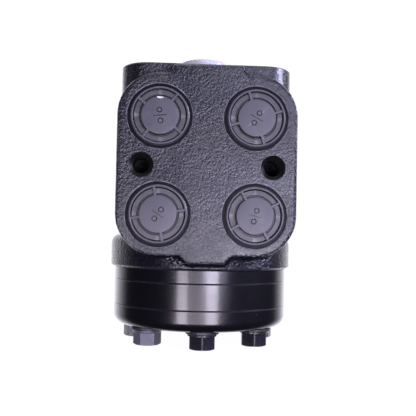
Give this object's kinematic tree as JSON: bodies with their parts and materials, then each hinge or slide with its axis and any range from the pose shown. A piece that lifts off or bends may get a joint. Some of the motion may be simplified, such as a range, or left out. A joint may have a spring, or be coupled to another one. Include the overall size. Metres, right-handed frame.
{
  "type": "orbital steering unit",
  "caption": "Hydrostatic steering unit: cast valve housing with plugged ports on one face, gerotor gear set, end cover and splined input under a cap.",
  "frame": {"origin": "centre of the column mounting face, on the input axis", "axes": "+Z along the input axis, out of the column mounting face; -Y out of the port face; +X to the right of the ports"},
  "size_m": [0.1004, 0.1061, 0.1566],
  "materials": {
    "cast_paint": "semi-gloss black paint on cast iron",
    "smooth_paint": "gloss black paint on turned steel",
    "ground_steel": "ground and oiled",
    "bright_steel": "polished",
    "spring_steel": "blued",
    "bolt_finish": "black",
    "washer_finish": "painted over",
    "seal_rubber": "matte",
    "shaft_seal_rubber": "matte",
    "seal_plastic": "matte",
    "dark_plastic": "satin moulded",
    "pale_plastic": "translucent white"
  },
  "bodies": {
    "housing_body": {"housing": "cast_paint", "distributor_plate": "smooth_paint", "stator_ring": "smooth_paint", "end_cover": "smooth_paint", "cover_bolts": "bolt_finish", "check_valve_bolt": "bolt_finish", "cover_washers": "washer_finish", "oring_housing": "seal_rubber", "oring_plate": "seal_rubber", "oring_cover": "seal_rubber", "ball_stop_pin": "bright_steel", "upper_race": "bright_steel", "shaft_seal": "shaft_seal_rubber", "seal_backup_ring": "seal_plastic", "dust_seal": "seal_rubber"},
    "sleeve_body": {"valve_sleeve": "ground_steel", "cross_pin": "bright_steel", "centring_springs": "spring_steel", "spring_ring": "spring_steel", "lower_race": "bright_steel"},
    "spool_body": {"valve_spool": "ground_steel"},
    "spacer_body": {"rotor_spacer": "bright_steel"},
    "rotor_body": {"rotor": "ground_steel"},
    "drive_body": {"drive_shaft": "ground_steel"},
    "needle_body": {"thrust_needles": "bright_steel"},
    "ball_body": {"check_ball": "bright_steel"},
    "cap_body": {"input_cap": "pale_plastic"},
    "plug_top_left_body": {"port_plug_top_left": "dark_plastic"},
    "plug_top_right_body": {"port_plug_top_right": "dark_plastic"},
    "plug_bottom_left_body": {"port_plug_bottom_left": "dark_plastic"},
    "plug_bottom_right_body": {"port_plug_bottom_right": "dark_plastic"}
  },
  "joints": [
    {"name": "steer_turn", "type": "hinge", "parent": "housing_body", "child": "sleeve_body", "pos_m": [0, 0, -0.058], "axis": [0, 0, 1], "continuous": true},
    {"name": "spool_follow", "type": "hinge", "parent": "sleeve_body", "child": "spool_body", "pos_m": [0, 0, -0.058], "axis": [0, 0, 1], "range_deg": [-9, 9], "stiffness_Nm_per_rad": 6, "deforming": ["centring_springs"]},
    {"name": "rotor_orbit", "type": "hinge", "parent": "housing_body", "child": "spacer_body", "pos_m": [0, 0, -0.11875], "axis": [0, 0, 1], "continuous": true},
    {"name": "rotor_spin", "type": "hinge", "parent": "spacer_body", "child": "rotor_body", "pos_m": [0, 0.0032, -0.11875], "axis": [0, 0, 1], "continuous": true},
    {"name": "drive_spin", "type": "hinge", "parent": "spacer_body", "child": "drive_body", "pos_m": [0, 0, -0.058], "axis": [0, -0.0526, 0.9986], "continuous": true},
    {"name": "needle_roll", "type": "hinge", "parent": "housing_body", "child": "needle_body", "pos_m": [0, 0, -0.018], "axis": [0, 0, 1], "continuous": true},
    {"name": "check_ball_lift", "type": "slide", "parent": "housing_body", "child": "ball_body", "axis": [0, 0, 1], "range_m": [0, 0.0008]},
    {"name": "input_cap_pull", "type": "slide", "parent": "housing_body", "child": "cap_body", "axis": [0, 0, 1], "range_m": [0, 0.03]},
    {"name": "plug_top_left_pull", "type": "slide", "parent": "housing_body", "child": "plug_top_left_body", "axis": [0, -1, 0], "range_m": [0, 0.03]},
    {"name": "plug_top_right_pull", "type": "slide", "parent": "housing_body", "child": "plug_top_right_body", "axis": [0, -1, 0], "range_m": [0, 0.03]},
    {"name": "plug_bottom_left_pull", "type": "slide", "parent": "housing_body", "child": "plug_bottom_left_body", "axis": [0, -1, 0], "range_m": [0, 0.03]},
    {"name": "plug_bottom_right_pull", "type": "slide", "parent": "housing_body", "child": "plug_bottom_right_body", "axis": [0, -1, 0], "range_m": [0, 0.03]}
  ],
  "couplings": [
    {"joint": "rotor_orbit", "follows": "steer_turn", "ratio": -6},
    {"joint": "rotor_spin", "follows": "steer_turn", "ratio": 7},
    {"joint": "drive_spin", "follows": "steer_turn", "ratio": 7},
    {"joint": "needle_roll", "follows": "steer_turn", "ratio": 0.5}
  ]
}
